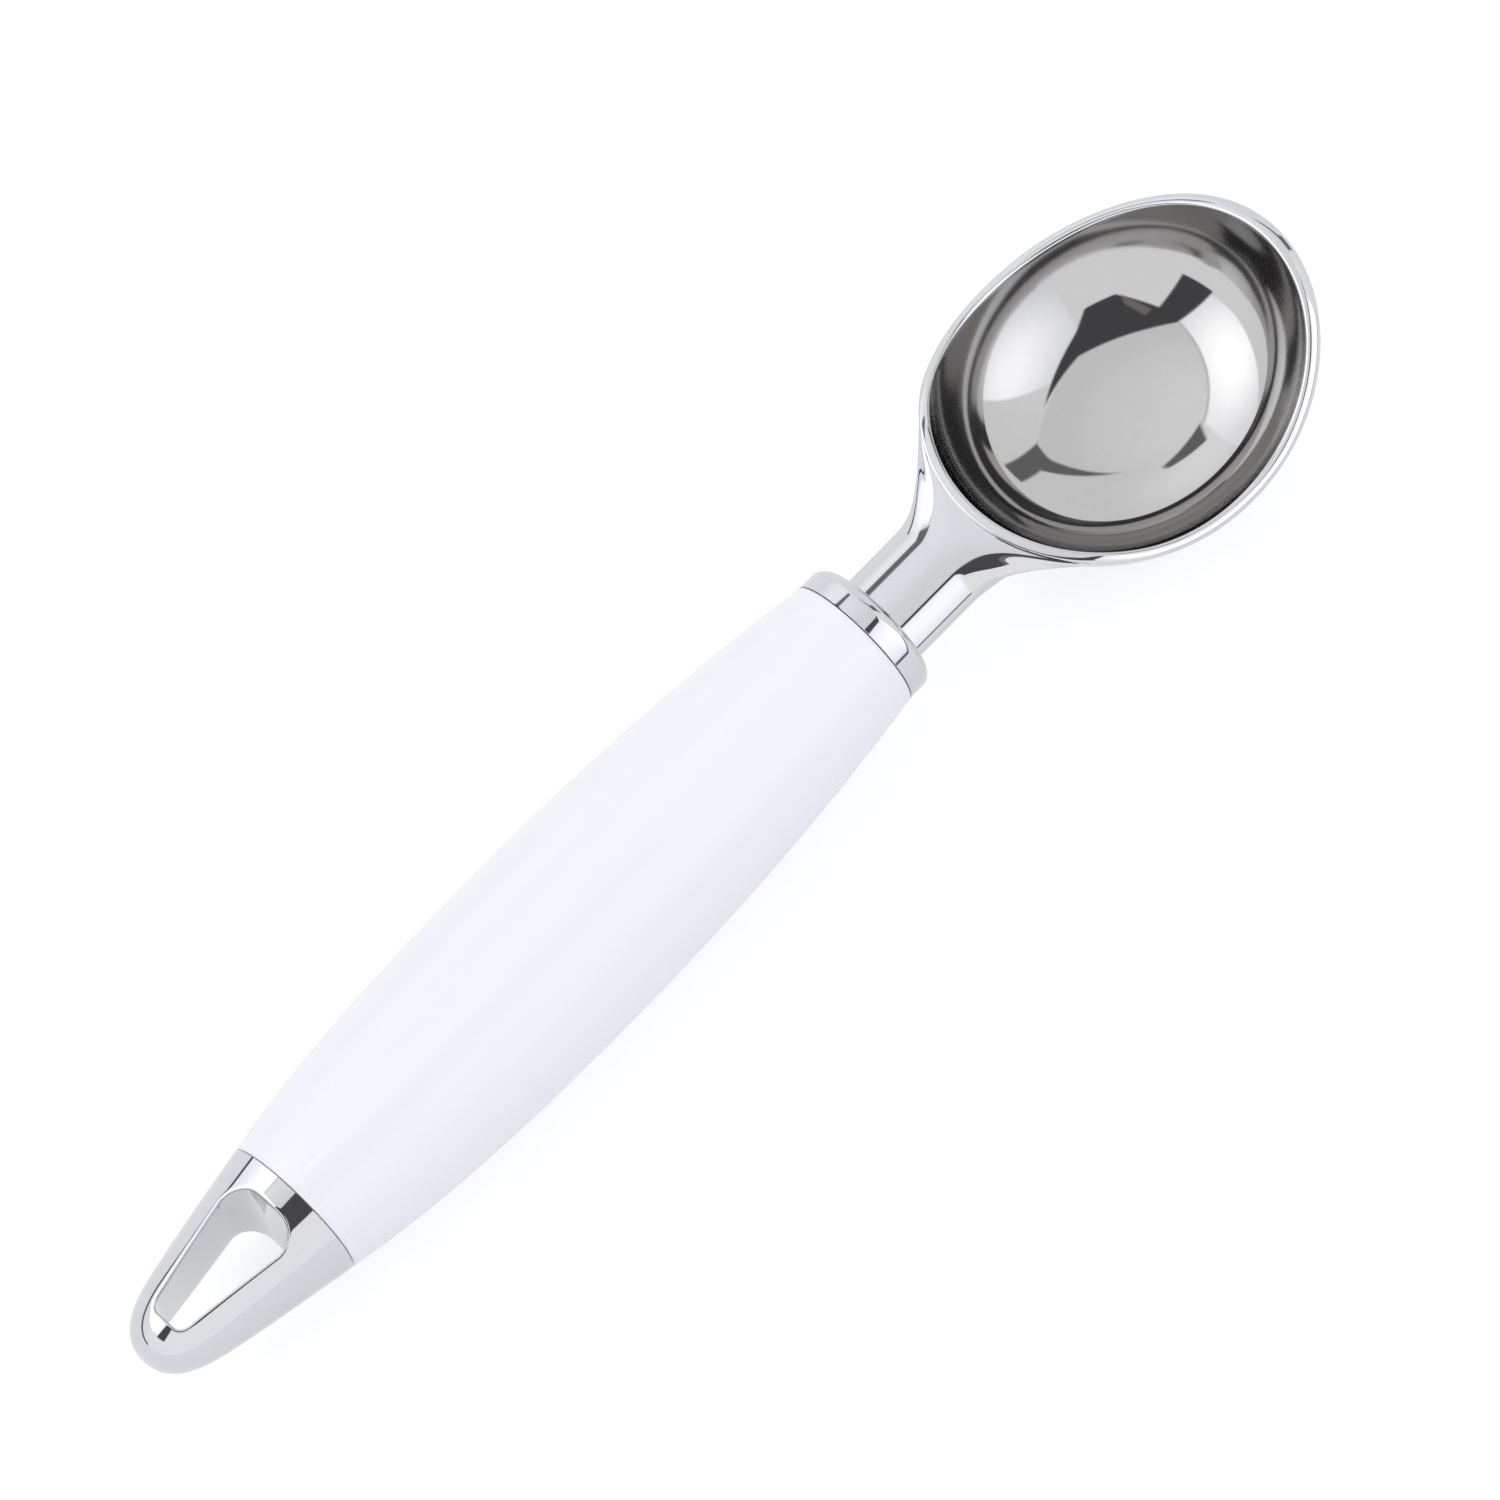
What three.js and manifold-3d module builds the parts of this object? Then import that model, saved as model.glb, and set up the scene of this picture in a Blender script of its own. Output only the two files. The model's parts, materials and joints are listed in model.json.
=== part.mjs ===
// Ice cream scoop: a chromed die-cast head on a white moulded handle, with a chromed end cap to hang it by
// Millimetres. The handle's axis is X, from the end cap's tip to the bowl's lip, and the mouth faces +Z.
import * as THREE from "three";
import { mergeVertices } from "three/addons/utils/BufferGeometryUtils.js";
import Module from "manifold-3d";

// Fits between pieces
const seam = 0.3; // line that shows between two pieces of the handle
const slipFit = 0.3; // all round a piece that slides into another
const seatGap = 0.05; // between faces that the screw pulls together

// End cap
const capLength = 25.5;
const capNoseLength = 7.5;
const capNoseRadius = 6.45;
const capNoseSlope = 0.224;
const capNoseBluntness = 3.4;
const capNoseEase = 4.9;
const spigotLength = 10;
const spigotBoreRadius = 4.4;
const hangHoleStart = 4.7;
const hangHoleLength = 17.9;
const hangHoleRearWidth = 5.2;
const hangHoleFrontWidth = 9.8;
const hangHoleRearCorner = 1.5;
const hangHoleFrontCorner = 3.2;

// Seal of the end cap
const sealSection = 1.5;
const sealSetback = 4;
const sealGrooveSlack = 0.2;

// Handle sleeve
const sleeveLength = 96.2;
const sleeveRearRadius = 9.85;
const sleeveRearSlope = 0.18;
const bellyRadius = 12.9;
const bellyDistance = 44.2;
const sleeveFrontRadius = 9.4;
const sleeveFrontSlope = -0.145;
const sleeveBoreRadius = 7.5;
const sleeveBoreDepth = 54;
const webThickness = 4.5;

// Screw and washers that clamp the head to the sleeve
const screwRadius = 2;
const screwLength = 18;
const screwHeadRadius = 3.6;
const screwHeadHeight = 2.6;
const screwHeadCrown = 0.7;
const screwRecessWidth = 1;
const screwRecessSpan = 4;
const screwRecessDepth = 1.4;
const flatWasherRadius = 4.6;
const flatWasherThickness = 0.8;
const springWasherRadius = 3.7;
const springWasherThickness = 1;
const springWasherSplit = 0.35;
const washerClearance = 0.25;
const tappedHoleClearance = 0.15;
const tappedHoleDepth = 12;

// Ferrule and its gasket
const ferruleLength = 3.6;
const ferruleEdgeRound = 1.7;
const ferruleFloor = 1.3;
const gasketThickness = 0.9;
const gasketOuterRadius = 8.2;
const gasketInnerRadius = 6.4;

// Neck and tang of the head
const tangWidth = 10;
const tangHeight = 6;
const tangCorner = 1.2;
const tangEndGap = 1.5;
const tangOverlap = 0.05; // where the tang runs into the neck
const neckWidth = 12.7;
const neckHeight = 7;
const neckCorner = 3.2;
const neckDrop = 1.3;
const neckLength = 10.1;
const flareHalfWidth = 9.8;
const flareTopSpread = 2.1;
const flareBottomNarrowing = 0.4;
const flareTopFullness = 0.6;
const flareMiddleHeight = -1.5;
const flareRimMargin = 0.3;
const flareUnderside = 9.6;
const flareTopPull = 13;
const flareSidePull = 4;
const flareUndersidePull = 18;
const flareRimPull = 4;
const flareWallPull = 9;
const flareSunk = 0.26; // of its end, into the bowl's wall
const flarePlugDepth = 0.52; // of the cap that closes it inside the wall
const flareBeyond = 1.08; // growth of its end that shows which way the wall runs

// Bowl: a full egg-like hollow, whose rim dips in an arc seen from the side and ends level at the heel
const bowlReach = 42.68;
const hollowHalfLength = 25.3;
const hollowHalfWidth = 22.4;
const hollowDepth = 25;
const hollowCentreHeight = 11;
const hollowFullness = 2.7;
const heelWall = 1.3;
const tipWall = 2.1;
const sideWall = 1.35;
const bottomWall = 2.2;
const rimArcRadius = 47;
const rimLowAhead = 4.1;
const rimLowHeight = -4.1;
const rimTurnBehind = 15.58;
const rimCrestBehind = 28.08;
const rimHeelDrop = 0.35;
const rimSideDrop = 1.05;
const rimTipDrop = 2;

// Facets
const roundSides = 40;
const smallSides = 28;
const bowlColumns = 64;
const bowlRows = 10;
const rimRows = 3;
const neckSides = 40;
const flareRows = 8;
const plugRows = 2;
const curveSteps = 9;
const cornerSteps = 6;
const sealSides = 10;

// Steps of the two searches below, each far past what the sizes need
const rimHalvings = 40;
const settlingSteps = 6;

// Stations along the axis, from the tip of the end cap
const sleeveRear = capLength + seam;
const sleeveFront = sleeveRear + sleeveLength;
const ferruleRear = sleeveFront + seam;
const ferruleFront = ferruleRear + ferruleLength;
const neckShoulder = ferruleRear + ferruleFloor + seatGap;
const flareStart = ferruleFront + neckLength;
const bowlCentre = ferruleFront + bowlReach;
const webRear = sleeveRear + sleeveBoreDepth;
const webFront = webRear + webThickness;
const tangEnd = webFront + tangEndGap;
const flatWasherRear = webRear - seatGap - flatWasherThickness;
const springWasherRear = flatWasherRear - seatGap - springWasherThickness;
const screwSeat = springWasherRear - seatGap;

const wasm = await Module();
wasm.setup();

function solid(geometry) {
  const bare = geometry.index ? geometry.toNonIndexed() : geometry.clone();
  bare.deleteAttribute("normal");
  bare.deleteAttribute("uv");
  const merged = mergeVertices(bare, 1e-4);
  return new wasm.Manifold(
    new wasm.Mesh({
      numProp: 3,
      vertProperties: merged.attributes.position.array,
      triVerts: new Uint32Array(merged.index.array),
    }),
  );
}

function geometryOf(manifold) {
  const mesh = manifold.getMesh();
  const geometry = new THREE.BufferGeometry();
  geometry.setAttribute("position", new THREE.BufferAttribute(mesh.vertProperties, 3));
  geometry.setIndex(new THREE.BufferAttribute(mesh.triVerts, 1));
  return geometry;
}

// A closed outline of [station, radius] points turned about the handle's axis.
function turned(outline, sides) {
  const profile = outline.map(([station, radius]) => new THREE.Vector2(radius, station));
  return new THREE.LatheGeometry(profile, sides).rotateZ(-Math.PI / 2);
}

function turnedSolid(outline, sides) {
  const made = solid(turned(outline, sides));
  return made.volume() > 0 ? made : solid(turned([...outline].reverse(), sides));
}

function rod(from, to, radius, sides) {
  return turnedSolid([[from, 0], [from, radius], [to, radius], [to, 0]], sides);
}

function ring(from, to, inner, outer, sides) {
  return turnedSolid([[from, inner], [from, outer], [to, outer], [to, inner], [from, inner]], sides);
}

// A rounded rectangle in the YZ plane, started at the middle of its top edge.
function roundedRectangle(width, height, corner) {
  const side = width / 2 - corner;
  const rise = height / 2 - corner;
  const shape = new THREE.Shape();
  shape.moveTo(0, height / 2);
  shape.lineTo(side, height / 2);
  shape.absarc(side, rise, corner, Math.PI / 2, 0, true);
  shape.absarc(side, -rise, corner, 0, -Math.PI / 2, true);
  shape.absarc(-side, -rise, corner, -Math.PI / 2, -Math.PI, true);
  shape.absarc(-side, rise, corner, Math.PI, Math.PI / 2, true);
  shape.lineTo(0, height / 2);
  return shape;
}

// A bar along X with a rounded rectangle for its section.
function bar(from, to, width, height, corner, drop) {
  const section = roundedRectangle(width, height, corner);
  const block = new THREE.ExtrudeGeometry(section, {
    depth: to - from,
    bevelEnabled: false,
    curveSegments: cornerSteps,
  });
  const alongX = new THREE.Matrix4().makeBasis(
    new THREE.Vector3(0, 1, 0),
    new THREE.Vector3(0, 0, 1),
    new THREE.Vector3(1, 0, 0),
  );
  return solid(block.applyMatrix4(alongX).translate(from, 0, -drop));
}

// A skin through rings of points, closed at both ends by an apex.
function loft(rings, firstApex, lastApex) {
  const count = rings[0].length;
  const points = [firstApex, ...rings.flat(), lastApex];
  const last = points.length - 1;
  const at = (row, column) => 1 + row * count + (column % count);
  const faces = [];
  for (let j = 0; j < count; j++) {
    faces.push(0, at(0, j), at(0, j + 1));
    for (let i = 0; i + 1 < rings.length; i++) {
      faces.push(at(i, j), at(i + 1, j), at(i + 1, j + 1));
      faces.push(at(i, j), at(i + 1, j + 1), at(i, j + 1));
    }
    faces.push(at(rings.length - 1, j), last, at(rings.length - 1, j + 1));
  }
  const geometry = new THREE.BufferGeometry().setFromPoints(points);
  geometry.setIndex(faces);
  return solid(geometry);
}

// A curve of radius over station with a set slope at each end, as [station, radius] points.
function sweep(from, fromRadius, fromSlope, to, toRadius, toSlope) {
  const third = (to - from) / 3;
  const curve = new THREE.CubicBezierCurve(
    new THREE.Vector2(from, fromRadius),
    new THREE.Vector2(from + third, fromRadius + fromSlope * third),
    new THREE.Vector2(to - third, toRadius - toSlope * third),
    new THREE.Vector2(to, toRadius),
  );
  return curve.getPoints(curveSteps).map((p) => [p.x, p.y]);
}

// End cap: a blunt bullet with a spigot for the sleeve and a tapered hole to hang it by.
function endCap() {
  const nose = new THREE.CubicBezierCurve(
    new THREE.Vector2(0, 0),
    new THREE.Vector2(0, capNoseBluntness),
    new THREE.Vector2(capNoseLength - capNoseEase, capNoseRadius - capNoseSlope * capNoseEase),
    new THREE.Vector2(capNoseLength, capNoseRadius),
  ).getPoints(curveSteps).map((p) => [p.x, p.y]);
  const flank = sweep(
    capNoseLength,
    capNoseRadius,
    capNoseSlope,
    capLength,
    sleeveRearRadius,
    sleeveRearSlope,
  );
  const spigotRadius = sleeveBoreRadius - slipFit;
  const spigotEnd = capLength + spigotLength;
  const grooveRear = capLength + sealSetback;
  const grooveFront = grooveRear + sealSection + sealGrooveSlack;
  const grooveRadius = sleeveBoreRadius - 2 * seatGap - sealSection;
  const body = turnedSolid(
    [
      ...nose,
      ...flank.slice(1),
      [capLength, spigotRadius],
      [grooveRear, spigotRadius],
      [grooveRear, grooveRadius],
      [grooveFront, grooveRadius],
      [grooveFront, spigotRadius],
      [spigotEnd, spigotRadius],
      [spigotEnd, spigotBoreRadius],
      [capLength, spigotBoreRadius],
      [capLength, 0],
    ],
    roundSides,
  );
  return body.subtract(hangHole());
}

// The hanging hole runs straight down through the cap, narrow and flat at the back where a hook seats.
function hangHole() {
  const rear = hangHoleStart;
  const front = hangHoleStart + hangHoleLength;
  const rearHalf = hangHoleRearWidth / 2;
  const frontHalf = hangHoleFrontWidth / 2;
  const rearIn = rear + hangHoleRearCorner;
  const frontIn = front - hangHoleFrontCorner;
  const outline = new THREE.Shape();
  outline.moveTo(rear, -(rearHalf - hangHoleRearCorner));
  outline.quadraticCurveTo(rear, -rearHalf, rearIn, -rearHalf);
  outline.lineTo(frontIn, -frontHalf);
  outline.absarc(frontIn, -(frontHalf - hangHoleFrontCorner), hangHoleFrontCorner, -Math.PI / 2, 0, false);
  outline.absarc(frontIn, frontHalf - hangHoleFrontCorner, hangHoleFrontCorner, 0, Math.PI / 2, false);
  outline.lineTo(rearIn, rearHalf);
  outline.quadraticCurveTo(rear, rearHalf, rear, rearHalf - hangHoleRearCorner);
  const height = 2 * bellyRadius;
  const cutter = new THREE.ExtrudeGeometry(outline, {
    depth: height,
    bevelEnabled: false,
    curveSegments: cornerSteps,
  });
  return solid(cutter.translate(0, 0, -height / 2));
}

// O-ring in the spigot's groove.
function capSeal() {
  const section = sealSection / 2;
  const centre = sleeveBoreRadius - seatGap - section;
  const middle = capLength + sealSetback + section + sealGrooveSlack / 2;
  const torus = new THREE.TorusGeometry(centre, section, sealSides, roundSides);
  return solid(torus.rotateY(Math.PI / 2).translate(middle, 0, 0));
}

// Handle sleeve: a barrel bored from the back, with a web inside for the screw and a slot for the tang.
function handleSleeve() {
  const belly = sleeveRear + bellyDistance;
  const rearHalf = sweep(sleeveRear, sleeveRearRadius, sleeveRearSlope, belly, bellyRadius, 0);
  const frontHalf = sweep(belly, bellyRadius, 0, sleeveFront, sleeveFrontRadius, sleeveFrontSlope);
  const barrel = turnedSolid(
    [[sleeveRear, 0], ...rearHalf, ...frontHalf.slice(1), [sleeveFront, 0]],
    roundSides,
  );
  const past = 1;
  const recessDepth = gasketThickness + 2 * seatGap - seam;
  const bore = rod(sleeveRear - past, webRear, sleeveBoreRadius, roundSides);
  const screwHole = rod(webRear - past, webFront + past, screwRadius + slipFit, smallSides);
  const slot = bar(
    webFront,
    sleeveFront + past,
    tangWidth + 2 * slipFit,
    tangHeight + 2 * slipFit,
    tangCorner + slipFit,
    0,
  );
  const recessRadius = gasketOuterRadius + slipFit;
  const recess = rod(sleeveFront - recessDepth, sleeveFront + past, recessRadius, roundSides);
  return barrel.subtract(bore).subtract(screwHole).subtract(slot).subtract(recess);
}

// Pan-head screw with a cross recess.
function clampScrew() {
  const headRear = screwSeat - screwHeadHeight;
  const crown = new THREE.QuadraticBezierCurve(
    new THREE.Vector2(headRear, 0),
    new THREE.Vector2(headRear, screwHeadRadius),
    new THREE.Vector2(headRear + screwHeadCrown, screwHeadRadius),
  ).getPoints(curveSteps).map((p) => [p.x, p.y]);
  const blank = turnedSolid(
    [...crown, [screwSeat, screwHeadRadius], [screwSeat, screwRadius],
      [screwSeat + screwLength, screwRadius], [screwSeat + screwLength, 0]],
    smallSides,
  );
  const blade = (width, height) =>
    solid(
      new THREE.BoxGeometry(2 * screwRecessDepth, width, height).translate(headRear, 0, 0),
    );
  return blank
    .subtract(blade(screwRecessSpan, screwRecessWidth))
    .subtract(blade(screwRecessWidth, screwRecessSpan));
}

function flatWasher() {
  const bore = screwRadius + washerClearance;
  return ring(flatWasherRear, flatWasherRear + flatWasherThickness, bore, flatWasherRadius, smallSides);
}

// Spring washer, flattened as it is when the screw is tight, with its split at the top.
function springWasher() {
  const outline = new THREE.Shape();
  const bore = screwRadius + washerClearance;
  const splitStart = springWasherSplit / 2;
  const splitEnd = 2 * Math.PI - splitStart;
  outline.absarc(0, 0, springWasherRadius, splitStart, splitEnd, false);
  outline.absarc(0, 0, bore, splitEnd, splitStart, true);
  const strip = new THREE.ExtrudeGeometry(outline, {
    depth: springWasherThickness,
    bevelEnabled: false,
    curveSegments: smallSides,
  });
  return solid(strip.rotateY(Math.PI / 2).translate(springWasherRear, 0, 0));
}

// Ferrule: a ring as wide as the sleeve, rounded in front, with a pocket for the neck and a slot for the tang.
function frontFerrule() {
  const edge = new THREE.EllipseCurve(
    ferruleFront - ferruleEdgeRound,
    sleeveFrontRadius - ferruleEdgeRound,
    ferruleEdgeRound,
    ferruleEdgeRound,
    Math.PI / 2,
    0,
    true,
  ).getPoints(curveSteps).map((p) => [p.x, p.y]);
  const disc = turnedSolid(
    [[ferruleRear, 0], [ferruleRear, sleeveFrontRadius], ...edge, [ferruleFront, 0]],
    roundSides,
  );
  const past = 1;
  const pocketFloor = ferruleRear + ferruleFloor;
  const pocket = bar(
    pocketFloor,
    ferruleFront + past,
    neckWidth + 2 * slipFit,
    neckHeight + 2 * slipFit,
    neckCorner + slipFit,
    neckDrop,
  );
  const slot = bar(
    ferruleRear - past,
    neckShoulder + tangOverlap + slipFit,
    tangWidth + 2 * slipFit,
    tangHeight + 2 * slipFit,
    tangCorner + slipFit,
    0,
  );
  return disc.subtract(pocket).subtract(slot);
}

function frontGasket() {
  const rear = ferruleRear - seatGap - gasketThickness;
  return ring(rear, rear + gasketThickness, gasketInnerRadius, gasketOuterRadius, roundSides);
}

// The bowl's inner and outer skins: one full rounded form, the outer one larger by the walls.
const hollow = { centre: bowlCentre, length: hollowHalfLength, width: hollowHalfWidth, depth: hollowDepth };
const outside = {
  centre: bowlCentre + (tipWall - heelWall) / 2,
  length: hollowHalfLength + (tipWall + heelWall) / 2,
  width: hollowHalfWidth + sideWall,
  depth: hollowDepth + bottomWall,
};

function skinPoint(skin, turn, lift) {
  const spread = Math.sin(lift) ** (2 / hollowFullness);
  const sink = Math.cos(lift) ** (2 / hollowFullness);
  return new THREE.Vector3(
    skin.centre + skin.length * spread * Math.cos(turn),
    skin.width * spread * Math.sin(turn),
    hollowCentreHeight - skin.depth * sink,
  );
}

// How far an arc has come away from its flat at an offset from its middle.
function bow(radius, offset) {
  return radius - Math.sqrt(Math.max(radius ** 2 - offset ** 2, 0));
}

// Height of the rim over a station: a dip that is lowest ahead of the middle and turns into the heel's crest.
function rimHeight(x) {
  const ahead = x - bowlCentre;
  const toTurn = rimLowAhead + rimTurnBehind;
  const crestRadius = (rimArcRadius * (rimCrestBehind - rimTurnBehind)) / toTurn;
  const crestHeight = rimLowHeight + bow(rimArcRadius, toTurn) * (1 + crestRadius / rimArcRadius);
  if (ahead < -rimTurnBehind) return crestHeight - bow(crestRadius, ahead + rimCrestBehind);
  return rimLowHeight + bow(rimArcRadius, ahead - rimLowAhead);
}

// How far the rim's outer edge lies below its inner one: least at the heel, most at the tip.
function rimDrop(x) {
  const { lerp, smoothstep } = THREE.MathUtils;
  const pastHeel = smoothstep(x, bowlCentre - hollowHalfLength, bowlCentre - rimTurnBehind);
  const toTip = smoothstep(x, bowlCentre + rimLowAhead, bowlCentre + hollowHalfLength);
  return lerp(lerp(rimHeelDrop, rimSideDrop, pastHeel), rimTipDrop, toTip);
}

// How far up a skin the rim, let down by a share of its drop, cuts it.
function liftAtRim(skin, turn, share) {
  let low = 0;
  let high = Math.PI / 2;
  for (let i = 0; i < rimHalvings; i++) {
    const middle = (low + high) / 2;
    const p = skinPoint(skin, turn, middle);
    if (p.z < rimHeight(p.x) - share * rimDrop(p.x)) low = middle;
    else high = middle;
  }
  return low;
}

function bowl() {
  const turns = Array.from({ length: bowlColumns }, (_, j) => (2 * Math.PI * j) / bowlColumns);
  const innerLift = turns.map((turn) => liftAtRim(hollow, turn, 0));
  const outerLift = turns.map((turn) => liftAtRim(outside, turn, 1));
  const rings = [];
  for (let i = 1; i <= bowlRows; i++) {
    rings.push(turns.map((turn, j) => skinPoint(hollow, turn, (innerLift[j] * i) / bowlRows)));
  }
  for (let i = 1; i < rimRows; i++) {
    rings.push(
      turns.map((turn, j) => {
        const inner = skinPoint(hollow, turn, innerLift[j]);
        const outer = skinPoint(outside, turn, outerLift[j]);
        const shoulder = new THREE.Vector3(outer.x, outer.y, inner.z);
        return new THREE.QuadraticBezierCurve3(inner, shoulder, outer).getPoint(i / rimRows);
      }),
    );
  }
  for (let i = bowlRows; i >= 1; i--) {
    rings.push(turns.map((turn, j) => skinPoint(outside, turn, (outerLift[j] * i) / bowlRows)));
  }
  return loft(rings, skinPoint(hollow, 0, 0), skinPoint(outside, 0, 0));
}

// Where the outer skin stands at the heel, seen from the neck.
function heelPoint(y, z, inset) {
  const sink = (hollowCentreHeight - z) / outside.depth;
  const spread = (1 - sink ** hollowFullness) ** (2 / hollowFullness);
  const across = y / outside.width;
  const reach = outside.length * Math.sqrt(spread - across ** 2);
  return new THREE.Vector3(outside.centre - reach + inset, y, z);
}

// A loop on the heel: its wide flat top follows the rim and its narrow bottom hangs under the neck.
function heelLoop(grow, inset) {
  return Array.from({ length: neckSides }, (_, j) => {
    const turn = (2 * Math.PI * j) / neckSides;
    const up = Math.cos(turn);
    const spread = up > 0 ? flareTopSpread : flareBottomNarrowing;
    const y = flareHalfWidth * Math.sin(turn) * (1 + spread * up * Math.abs(up)) * grow;
    const wallX = heelPoint(y, flareMiddleHeight, 0).x;
    const above = rimHeight(wallX) - rimDrop(wallX) - flareRimMargin - flareMiddleHeight;
    const below = flareUnderside + flareMiddleHeight;
    const rise = up > 0 ? above * up ** flareTopFullness : below * up;
    return heelPoint(y, flareMiddleHeight + rise * grow, inset);
  });
}

// A size that changes round the neck from the top over the sides to the underside.
function around(turn, top, side, underside) {
  const up = Math.cos(turn);
  return THREE.MathUtils.lerp(side, up > 0 ? top : underside, up ** 2);
}

// Neck: a rounded bar that flares on to the heel. It leaves along the axis, its top meets the rim level,
// and its sides and underside meet the wall along the wall's skin.
function neck() {
  const outline = roundedRectangle(neckWidth, neckHeight, neckCorner);
  const section = outline.getSpacedPoints(neckSides).slice(0, neckSides);
  const neckRing = (x) => section.map((p) => new THREE.Vector3(x, p.x, p.y - neckDrop));
  const start = neckRing(flareStart);
  const end = heelLoop(1, flareSunk);
  const beyond = heelLoop(flareBeyond, flareSunk);
  const alongAxis = new THREE.Vector3(1, 0, 0);
  const rings = [neckRing(neckShoulder), neckRing((neckShoulder + flareStart) / 2)];
  for (let i = 0; i <= flareRows; i++) {
    const t = i / flareRows;
    rings.push(
      start.map((from, j) => {
        const turn = (2 * Math.PI * j) / neckSides;
        const level = Math.max(Math.cos(turn), 0) ** 2;
        const neckPull = around(turn, flareTopPull, flareSidePull, flareUndersidePull);
        const bowlPull = around(turn, flareRimPull, flareWallPull, flareWallPull);
        const arrival = beyond[j].clone().sub(end[j]).normalize().lerp(alongAxis, level);
        const out = from.clone().addScaledVector(alongAxis, neckPull / 3);
        const back = end[j].clone().addScaledVector(arrival, -bowlPull / 3);
        return new THREE.CubicBezierCurve3(from, out, back, end[j]).getPoint(t);
      }),
    );
  }
  for (let i = plugRows; i >= 1; i--) {
    rings.push(heelLoop(i / (plugRows + 1), flarePlugDepth));
  }
  return loft(
    rings,
    new THREE.Vector3(neckShoulder, 0, -neckDrop),
    heelPoint(0, flareMiddleHeight, flarePlugDepth),
  );
}

// Head: bowl, neck and tang in one casting, with a tapped hole in the tang's end for the screw.
function scoopHead() {
  const tang = bar(tangEnd, neckShoulder + tangOverlap, tangWidth, tangHeight, tangCorner, 0);
  const past = 1;
  const tappedRadius = screwRadius + tappedHoleClearance;
  const tapped = rod(tangEnd - past, tangEnd + tappedHoleDepth, tappedRadius, smallSides);
  return bowl().add(neck()).add(tang).subtract(tapped);
}

const chrome = () => new THREE.MeshStandardMaterial({ color: 0xd9dbdf, metalness: 1, roughness: 0.06 });
const whitePlastic = new THREE.MeshStandardMaterial({ color: 0xf2f4f8, metalness: 0, roughness: 0.22 });
const zincSteel = () => new THREE.MeshStandardMaterial({ color: 0xa9adb1, metalness: 1, roughness: 0.35 });
const silicone = () => new THREE.MeshStandardMaterial({ color: 0x3a3d40, metalness: 0, roughness: 0.7 });

function piece(name, manifold, material) {
  const mesh = new THREE.Mesh(geometryOf(manifold), material);
  mesh.name = name;
  return mesh;
}

const scoop = new THREE.Group();
scoop.add(
  piece("scoop_head", scoopHead(), chrome()),
  piece("front_ferrule", frontFerrule(), chrome()),
  piece("front_gasket", frontGasket(), silicone()),
  piece("handle_sleeve", handleSleeve(), whitePlastic),
  piece("flat_washer", flatWasher(), zincSteel()),
  piece("spring_washer", springWasher(), zincSteel()),
  piece("clamp_screw", clampScrew(), zincSteel()),
  piece("cap_seal", capSeal(), silicone()),
  piece("end_cap", endCap(), chrome()),
);

// The scoop lies on a table on its bowl and on the belly of its handle, so its axis rises towards the bowl.
const bellyStation = sleeveRear + bellyDistance;
const lowest = (name) => new THREE.Box3().setFromObject(scoop.getObjectByName(name), true).min.z;
for (let i = 0; i < settlingSteps; i++) {
  const lift = lowest("handle_sleeve") - lowest("scoop_head");
  scoop.rotation.y -= lift / (bowlCentre - bellyStation);
  scoop.updateMatrixWorld(true);
}
const box = new THREE.Box3().setFromObject(scoop, true);
const middle = box.getCenter(new THREE.Vector3());
scoop.position.set(-middle.x, -middle.y, -box.min.z);

const part = new THREE.Group();
part.add(scoop);

export default part;
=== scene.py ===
"""Looks of an ice cream scoop with a chromed bowl and a white handle, from the bowl to the end cap.

Each mesh is drawn in millimetres along the handle's axis, from the tip of the end cap at 0, with the
bowl's mouth up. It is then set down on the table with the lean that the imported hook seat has.
"""

import json
import math

import bmesh
import bpy
import numpy as np
from mathutils import Matrix, Vector


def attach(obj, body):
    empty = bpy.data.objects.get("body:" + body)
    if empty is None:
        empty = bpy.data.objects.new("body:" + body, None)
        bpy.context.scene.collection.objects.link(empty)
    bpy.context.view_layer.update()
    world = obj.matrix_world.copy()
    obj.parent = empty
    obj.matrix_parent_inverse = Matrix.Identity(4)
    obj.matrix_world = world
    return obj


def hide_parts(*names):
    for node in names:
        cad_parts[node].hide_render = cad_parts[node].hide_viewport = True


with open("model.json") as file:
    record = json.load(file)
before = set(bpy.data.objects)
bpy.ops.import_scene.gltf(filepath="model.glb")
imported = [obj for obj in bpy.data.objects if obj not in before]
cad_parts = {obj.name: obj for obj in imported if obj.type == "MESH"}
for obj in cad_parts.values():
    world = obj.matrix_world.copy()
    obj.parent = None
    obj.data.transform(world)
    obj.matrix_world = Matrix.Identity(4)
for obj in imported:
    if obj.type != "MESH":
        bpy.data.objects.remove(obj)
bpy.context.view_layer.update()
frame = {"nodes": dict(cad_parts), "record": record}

# Scoop head: the bowl, its flared neck and the tang that runs inside the handle.
# It is one zinc alloy casting, polished and chromed, with hazier chrome in the bowl's hollow, whose
# darker, warmer tint there is painted shade.
# A screw in the tang's end clamps the handle to it.
fullness = 2.7
centre_height = 11.0
hollow = {"centre": 168.58, "length": 25.3, "width": 22.4, "depth": 25.0}
outside = {"centre": 168.98, "length": 27.0, "width": 23.75, "depth": 27.2}
rim_arc = 47.0
rim_low_station = 172.68
rim_low_height = -4.1
rim_turn_station = 153.0
rim_crest_station = 140.5
rim_drops = (0.35, 1.05, 2.0)
rim_width = 1.6
rim_edge_round = 0.3
neck_size = (12.7, 7.0, 3.2)
neck_drop = 1.3
neck_crown = 1.7
neck_shoulder = 123.65
flare_start = 136.0
flare_half_width = 9.8
flare_top_spread = 2.1
flare_bottom_narrowing = 0.4
flare_top_fullness = 0.6
flare_middle = -1.5
flare_rim_margin = 0.3
flare_underside = 9.6
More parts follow.
